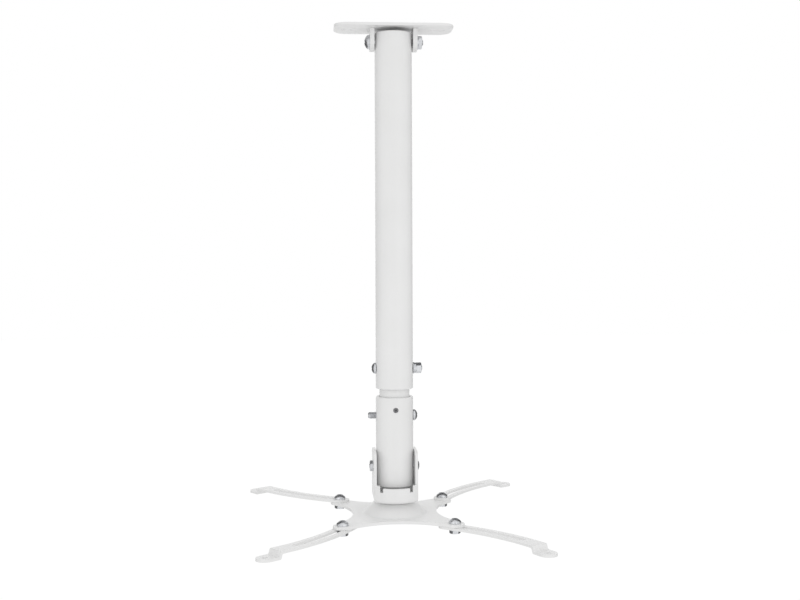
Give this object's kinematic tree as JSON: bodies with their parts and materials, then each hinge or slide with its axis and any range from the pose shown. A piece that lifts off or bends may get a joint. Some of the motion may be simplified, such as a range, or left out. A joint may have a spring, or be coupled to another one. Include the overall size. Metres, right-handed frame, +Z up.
{
  "type": "projector ceiling mount",
  "caption": "White ceiling mount for a projector: slotted plate on a telescopic pole, with a tilting and swivelling spider of curved slotted arms.",
  "frame": {"origin": "the middle of the ceiling plate's top face, where it lies on the ceiling", "axes": "+Z up into the ceiling along the pole; +X along the ceiling plate and the cross bolts, to the right in the picture; +Y away from the viewer"},
  "size_m": [0.251, 0.256, 0.4254],
  "materials": {
    "white_paint": "white satin powder coat",
    "zinc_steel": "bright zinc plated steel",
    "black_steel": "black oxide steel",
    "nylon": "plain white nylon"
  },
  "bodies": {
    "ceiling_bracket": {"ceiling_plate": "white_paint", "ceiling_ear_left": "white_paint", "ceiling_ear_right": "white_paint", "ceiling_pivot_bolt": "zinc_steel", "ceiling_pivot_washer": "zinc_steel", "ceiling_pivot_nut": "zinc_steel"},
    "upper_pole": {"upper_tube": "white_paint", "clamp_bolt": "zinc_steel", "clamp_washer": "zinc_steel", "clamp_spring_washer": "zinc_steel", "clamp_nut": "zinc_steel"},
    "lower_pole": {"inner_tube": "white_paint", "lower_sleeve": "white_paint", "sleeve_bolt": "zinc_steel", "sleeve_set_screw": "black_steel"},
    "yoke": {"tilt_yoke": "white_paint", "tilt_bolt": "zinc_steel", "tilt_nut": "zinc_steel", "swivel_bolt": "zinc_steel", "swivel_friction_washer": "nylon", "swivel_washer": "zinc_steel", "swivel_nut": "zinc_steel"},
    "spider": {"spider_plate": "white_paint"},
    "arm_pivot_front_right": {"arm_bolt_front_right": "zinc_steel", "arm_washer_front_right": "zinc_steel", "arm_nut_front_right": "zinc_steel"},
    "arm_front_right": {"arm_front_right": "white_paint"},
    "arm_pivot_back_right": {"arm_bolt_back_right": "zinc_steel", "arm_washer_back_right": "zinc_steel", "arm_nut_back_right": "zinc_steel"},
    "arm_back_right": {"arm_back_right": "white_paint"},
    "arm_pivot_back_left": {"arm_bolt_back_left": "zinc_steel", "arm_washer_back_left": "zinc_steel", "arm_nut_back_left": "zinc_steel"},
    "arm_back_left": {"arm_back_left": "white_paint"},
    "arm_pivot_front_left": {"arm_bolt_front_left": "zinc_steel", "arm_washer_front_left": "zinc_steel", "arm_nut_front_left": "zinc_steel"},
    "arm_front_left": {"arm_front_left": "white_paint"}
  },
  "joints": [
    {"name": "ceiling_tilt", "type": "hinge", "parent": "ceiling_bracket", "child": "upper_pole", "pos_m": [0, 0, -0.0132], "axis": [1, 0, 0], "range_deg": [-10, 10]},
    {"name": "pole_extension", "type": "slide", "parent": "upper_pole", "child": "lower_pole", "axis": [0, 0, -1], "range_m": [0, 0.22]},
    {"name": "projector_tilt", "type": "hinge", "parent": "lower_pole", "child": "yoke", "pos_m": [0, 0, -0.3769], "axis": [1, 0, 0], "range_deg": [-15, 15]},
    {"name": "projector_swivel", "type": "hinge", "parent": "yoke", "child": "spider", "pos_m": [0, 0, -0.4067], "axis": [0, 0, 1], "continuous": true},
    {"name": "front_right_swing", "type": "hinge", "parent": "spider", "child": "arm_pivot_front_right", "pos_m": [0.0461, -0.0461, -0.4192], "axis": [0, 0, 1], "range_deg": [-39.6, 50.4]},
    {"name": "front_right_slide", "type": "hinge", "parent": "arm_pivot_front_right", "child": "arm_front_right", "pos_m": [-0.0712, -0.20809, -0.4192], "axis": [0, 0, 1], "range_deg": [-2.03, 4.84]},
    {"name": "back_right_swing", "type": "hinge", "parent": "spider", "child": "arm_pivot_back_right", "pos_m": [0.0461, 0.0461, -0.4147], "axis": [0, 0, 1], "range_deg": [-47.4, 42.6]},
    {"name": "back_right_slide", "type": "hinge", "parent": "arm_pivot_back_right", "child": "arm_back_right", "pos_m": [0.22415, -0.04499, -0.4147], "axis": [0, 0, 1], "range_deg": [-0.06, 6.82]},
    {"name": "back_left_swing", "type": "hinge", "parent": "spider", "child": "arm_pivot_back_left", "pos_m": [-0.0461, 0.0461, -0.4147], "axis": [0, 0, 1], "range_deg": [-47.8, 42.2]},
    {"name": "back_left_slide", "type": "hinge", "parent": "arm_pivot_back_left", "child": "arm_back_left", "pos_m": [0.04425, 0.22453, -0.4147], "axis": [0, 0, 1], "range_deg": [-0.37, 6.5]},
    {"name": "front_left_swing", "type": "hinge", "parent": "spider", "child": "arm_pivot_front_left", "pos_m": [-0.0461, -0.0461, -0.4192], "axis": [0, 0, 1], "range_deg": [-47.8, 42.2]},
    {"name": "front_left_slide", "type": "hinge", "parent": "arm_pivot_front_left", "child": "arm_front_left", "pos_m": [-0.22198, 0.04912, -0.4192], "axis": [0, 0, 1], "range_deg": [-3.44, 3.44]}
  ]
}
